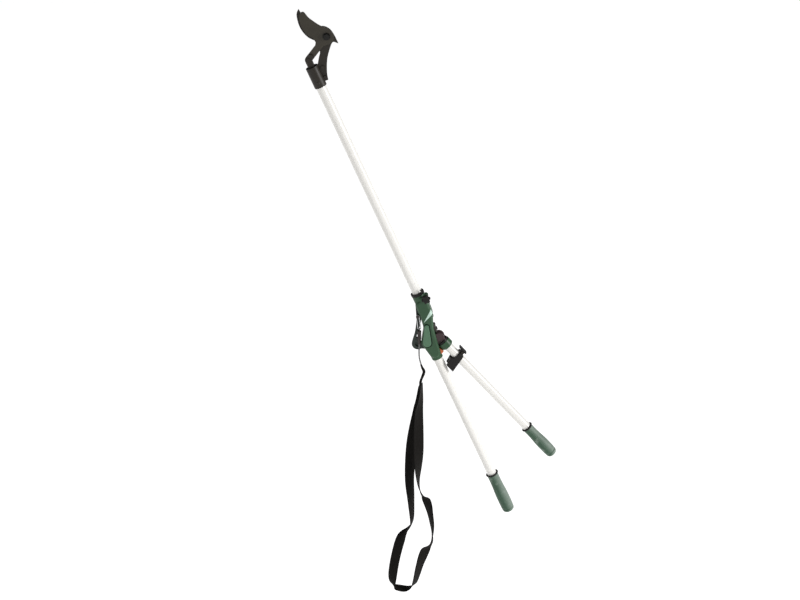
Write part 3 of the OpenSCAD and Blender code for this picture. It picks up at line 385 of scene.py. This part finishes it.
looks = {
    "white_paint": {
        "dark": (0.82, 0.80, 0.76), "light": (0.87, 0.855, 0.82), "fine": 500, "broad": 6,
        "scuff": (0.70, 0.69, 0.65), "scuffSize": 45, "scuffCover": 0.70,
        "rough": (0.26, 0.36), "bump": 0.05, "bumpDepth": 0.1, "coat": 0.2,
    },
    "green_plastic": {
        "dark": (0.019, 0.060, 0.025), "light": (0.033, 0.088, 0.041), "fine": 1400, "broad": 20,
        "scuff": (0.07, 0.15, 0.10), "scuffSize": 90, "scuffCover": 0.68,
        "rough": (0.34, 0.46), "bump": 0.12, "bumpDepth": 0.15, "specular": 0.3,
        # painted highlight line across the front, and painted shade in the groove round the cover
        "paintedHighlight": (0.50, 0.66, 0.57), "groove": (0.006, 0.018, 0.009),
    },
    "panel_green": {
        "dark": (0.050, 0.134, 0.068), "light": (0.073, 0.167, 0.094), "fine": 1400, "broad": 24,
        "scuff": (0.13, 0.24, 0.18), "scuffSize": 90, "scuffCover": 0.68,
        "rough": (0.38, 0.52), "bump": 0.12, "bumpDepth": 0.15,
    },
    "grip_rubber": {
        "dark": (0.020, 0.062, 0.032), "light": (0.050, 0.110, 0.066), "fine": 900, "broad": 26,
        "scuff": (0.16, 0.21, 0.17), "scuffSize": 58, "scuffCover": 0.55,
        # painted light: paler colour on the grip side facing the key light
        "paintedLitSide": (0.24, 0.29, 0.25), "paintedLitSideLeast": 0.5,
        "rough": (0.46, 0.60), "bump": 0.25, "bumpDepth": 0.25, "specular": 0.35, "sheen": 0.04,
    },
    "black_plastic": {
        "dark": (0.006, 0.0055, 0.005), "light": (0.012, 0.011, 0.010), "fine": 1200, "broad": 26,
        "scuff": (0.03, 0.028, 0.026), "scuffSize": 80, "scuffCover": 0.70,
        "rough": (0.42, 0.58), "bump": 0.18, "bumpDepth": 0.2, "specular": 0.22,
    },
    "drum_brown": {
        "dark": (0.040, 0.024, 0.026), "light": (0.065, 0.042, 0.045), "fine": 1200, "broad": 26,
        "scuff": (0.09, 0.065, 0.068), "scuffSize": 80, "scuffCover": 0.70,
        "rough": (0.42, 0.58), "bump": 0.18, "bumpDepth": 0.2, "specular": 0.25,
    },
    "spine_grey": {
        "dark": (0.018, 0.028, 0.022), "light": (0.030, 0.043, 0.035), "fine": 1200, "broad": 26,
        "scuff": (0.06, 0.08, 0.07), "scuffSize": 80, "scuffCover": 0.69,
        "rough": (0.40, 0.55), "bump": 0.15, "bumpDepth": 0.2, "specular": 0.3,
    },
    "nylon": {
        "dark": (0.62, 0.61, 0.56), "light": (0.72, 0.71, 0.66), "fine": 800, "broad": 20,
        "rough": (0.45, 0.6), "bump": 0.06, "bumpDepth": 0.1,
    },
    "zinc_steel": {
        "dark": (0.46, 0.46, 0.47), "light": (0.60, 0.60, 0.60), "fine": 700, "broad": 50,
        "rough": (0.28, 0.45), "bump": 0.08, "bumpDepth": 0.1, "metal": 1,
    },
    "stop_rubber": {
        "dark": (0.55, 0.13, 0.045), "light": (0.68, 0.18, 0.065), "fine": 900, "broad": 40,
        "rough": (0.6, 0.75), "bump": 0.2, "bumpDepth": 0.2,
    },
    "black_coated_steel": {
        "dark": (0.013, 0.010, 0.007), "light": (0.030, 0.025, 0.018), "fine": 600, "broad": 18,
        "scuff": (0.09, 0.083, 0.072), "scuffSize": 55, "scuffCover": 0.71,
        "rough": (0.36, 0.52), "bump": 0.12, "bumpDepth": 0.15, "specular": 0.28,
    },
    "blade_steel": {
        "dark": (0.024, 0.020, 0.013), "light": (0.048, 0.041, 0.029), "fine": 600, "broad": 16,
        "scuff": (0.12, 0.11, 0.095), "scuffSize": 50, "scuffCover": 0.70,
        "rough": (0.34, 0.50), "bump": 0.10, "bumpDepth": 0.12, "specular": 0.3,
    },
    "bolt_black": {
        "dark": (0.004, 0.004, 0.003), "light": (0.010, 0.009, 0.008), "fine": 800, "broad": 60,
        "rough": (0.38, 0.50), "bump": 0.10, "bumpDepth": 0.10, "specular": 0.25,
    },
    "hook_steel": {
        "dark": (0.022, 0.016, 0.014), "light": (0.045, 0.034, 0.029), "fine": 700, "broad": 40,
        "rough": (0.34, 0.5), "bump": 0.1, "bumpDepth": 0.1, "specular": 0.3,
    },
}
wovenLooks = {
    "grey_cord": {
        "dark": (0.10, 0.10, 0.10), "light": (0.30, 0.30, 0.30), "dust": (0.24, 0.24, 0.23),
        "across": 8, "along": 26,
    },
    "black_webbing": {
        "dark": (0.004, 0.0035, 0.003), "light": (0.011, 0.0095, 0.008), "dust": (0.009, 0.0075, 0.0065),
        "across": 15, "along": 720,
    },
}
finishes = {slot: makeFinish(slot, look) for slot, look in looks.items()}
finishes.update({slot: makeWoven(slot, look) for slot, look in wovenLooks.items()})

setCamera(stageLook)
setStage(stageLook)
print("camera and stage ready")


# carrying strap: points below the snap hook, as side, depth, height and turn of the width
strap = {
    "hang": (-0.22945, -0.0098, 0.46382),
    "cordDiameter": 4,
    "cordSteps": 18,
    "cordMeasure": 200,
    "cordRoute": [(0, 0, 0), (0, 0, -7), (-0.5, 0, -20), (0, 0, -34), (1, 0, -44), (3, 0, -52), (5, 0, -60)],
    "loopRoute": [
        (5, 0, -60), (6, 0, -64), (9, 0, -72), (12.5, 0, -79), (13, 0, -85), (10, 0, -95),
        (6, 0, -106), (4, 0, -115), (4, 0, -121),
    ],
    "loopRadii": [2.2, 2.6, 3.4, 4.0, 4.0, 3.8, 3.4, 3.8, 4.0],
    "loopSteps": 42,
    "roundSteps": 5,
    "webWidth": 30,
    "webThickness": 1.8,
    "webCup": 0.8,
    "webEdge": 0.4,
    "webEdgeSteps": 2,
    "webSteps": 280,
    "webColumns": 8,
    "webNear": 0.002,
    "webMeasure": 800,
    "webRoute": [
        (1, 2, -121, 80), (0, 6, -167, 53), (-3, 8, -201, 30), (-19, 9, -306, 9),
        (-25, 8, -414, 30), (-20.5, 6, -491, 53), (-18, 4, -560, 72), (-31, 2, -585, 84),
        (-49.5, 1, -615, 142), (-64.5, 1, -678, 147), (-73, 1, -740, 142), (-71.5, 0, -772, 111),
        (-54, 0, -781, 80), (-31, 0, -783, 63), (-13, 0, -772, 57), (-4.5, -1, -745, 50),
        (5, -2, -702, 37), (20, -3, -652, 20), (37.5, -4, -623, 71), (38.5, -5, -571, 110),
        (32.5, -5, -527, 127), (22, -6, -482, 148), (9, -7, -461, 109), (0, -8, -419, 76),
        (0, -9, -320, 26), (0, -7, -208, 40), (4, -5, -171, 60), (7, -2, -121, 80),
    ],
}


def smoothRow(rows, t):  # point at a share t of a Catmull-Rom curve through the rows
    last = len(rows) - 1
    span = min(int(t * last), last - 1)
    u = t * last - span
    a, b, c, d = (rows[max(0, min(span + k, last))] for k in (-1, 0, 1, 2))
    return [
        0.5 * (2 * q + (r - p) * u + (2 * p - 5 * q + 4 * r - s) * u * u + (3 * q - 3 * r + s - p) * u ** 3)
        for p, q, r, s in zip(a, b, c, d)
    ]


def hangPoint(row):
    return Vector(strap["hang"]) + Vector(row[:3]) * mm


def routePoints(rows, steps):
    return [hangPoint(smoothRow(rows, k / steps)) for k in range(steps + 1)]


def makeCurve(name, points, radii, finish):
    data = bpy.data.curves.new(name, "CURVE")
    data.dimensions = "3D"
    data.bevel_depth = 1
    data.bevel_resolution = strap["roundSteps"]
    data.use_fill_caps = True
    line = data.splines.new("POLY")
    line.points.add(len(points) - 1)
    for target, place, radius in zip(line.points, points, radii):
        target.co = (*place, 1)
        target.radius = radius
    line.use_smooth = True
    obj = bpy.data.objects.new(name, data)
    scene.collection.objects.link(obj)
    data.materials.append(finishes[finish])
    return obj


def makeWebbing(look):
    route = look["webRoute"]
    near = look["webNear"]
    half = 0.5  # the grid starts as a unit square
    bm = bmesh.new()
    bm.loops.layers.uv.new("UVMap")
    bmesh.ops.create_grid(
        bm, x_segments=look["webColumns"], y_segments=look["webSteps"], size=half, calc_uvs=True
    )
    for v in bm.verts:
        t = min(max(v.co.y + half, 0), 1)
        row = smoothRow(route, t)
        ahead = hangPoint(smoothRow(route, min(t + near, 1)))
        behind = hangPoint(smoothRow(route, max(t - near, 0)))
        along = (ahead - behind).normalized()
        turn = math.radians(row[3])
        side = Vector((math.cos(turn), math.sin(turn), 0))
        side = (side - along * side.dot(along)).normalized()
        cup = look["webCup"] * (1 - (v.co.x / half) ** 2)
        v.co = hangPoint(row) + side * v.co.x * look["webWidth"] * mm + along.cross(side) * cup * mm
    for face in bm.faces:
        face.smooth = True
    webbing = meshObject("webbing", bm)
    webbing.data.materials.append(finishes["black_webbing"])
    wall = webbing.modifiers.new("thickness", "SOLIDIFY")
    wall.thickness = look["webThickness"] * mm
    wall.offset = 0
    edge = webbing.modifiers.new("softEdge", "BEVEL")
    edge.width = look["webEdge"] * mm
    edge.segments = look["webEdgeSteps"]
    return webbing


def makeStrap(look):
    cordPoints = routePoints(look["cordRoute"], look["cordSteps"])
    cordRadii = [look["cordDiameter"] / 2 * mm] * len(cordPoints)
    cord = makeCurve("strapCord", cordPoints, cordRadii, "grey_cord")
    loopSteps = look["loopSteps"]
    radiusRows = [(radius,) for radius in look["loopRadii"]]
    loopRadii = [smoothRow(radiusRows, k / loopSteps)[0] * mm for k in range(loopSteps + 1)]
    loop = makeCurve("strapLoop", routePoints(look["loopRoute"], loopSteps), loopRadii, "black_webbing")
    webbing = makeWebbing(look)
    for piece, node, slot in (
        (cord, "strap_cord", "grey_cord"), (loop, "strap_loop", "black_webbing"),
        (webbing, "strap_webbing", "black_webbing"),
    ):
        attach(piece, "strap")
        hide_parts(node)


makeStrap(strap)


# CAD nodes that stay: their finish, and slightly eased edges
slotOfNode = {entry["node"]: entry["material_slot"] for entry in frame["record"]["subparts"]}
softFactor = 0.5  # share of each smoothing pass
softened = {  # moulded nodes: size of the new grid and number of smoothing passes
    "housing_front": (0.75, 7), "housing_back": (0.9, 10), "pivot_cover": (0.7, 5), "strap_eye": (0.8, 6),
    "neck_ring": (0.6, 5), "clamp_knob": (0.5, 4), "lever_root": (0.8, 6), "lever_clip": (0.8, 6),
    "stop_bumper": (0.6, 4),
}
easedEdge = {"steps": 2, "angle": 50}
eased = {  # metal nodes and a collar: width of the eased edge
    "hook_jaw": 0.6, "blade": 0.5, "head_collar": 0.5, "rod_clevis": 0.5, "main_grip_collar": 0.4,
}
keyLitSide = {"side": (0.92, -0.1, 0.38), "grips": ("main_grip", "lever_grip")}  # painted light: the side of the grips facing the key light, painted paler


def paintLitSide(mesh, look):  # how far each point of a grip faces the key light, for the painted light
    side = Vector(look["side"]).normalized()
    paintedLitSide = mesh.attributes.new("paintedLitSide", "FLOAT", "POINT")
    for vertex, mark in zip(mesh.vertices, paintedLitSide.data):
        mark.value = max(vertex.normal.dot(side), 0)


def dressNode(name):
    obj = nodes[name]
    # painted light: store how far each point faces the key light
    if name in keyLitSide["grips"]:
        paintLitSide(obj.data, keyLitSide)
    obj.data.materials.clear()
    obj.data.materials.append(finishes[slotOfNode[name]])
    if name in softened:
        grid, passes = softened[name]
        skin = obj.modifiers.new("evenGrid", "REMESH")
        skin.mode = "VOXEL"
        skin.voxel_size = grid * mm
        skin.use_smooth_shade = True
        ease = obj.modifiers.new("easedEdges", "SMOOTH")
        ease.factor = softFactor
        ease.iterations = passes
    if name in eased:
        edge = obj.modifiers.new("easedEdges", "BEVEL")
        edge.width = eased[name] * mm
        edge.segments = easedEdge["steps"]
        edge.limit_method = "ANGLE"
        edge.angle_limit = math.radians(easedEdge["angle"])


for name in nodes:
    if not nodes[name].hide_render:
        dressNode(name)
print("nodes dressed")
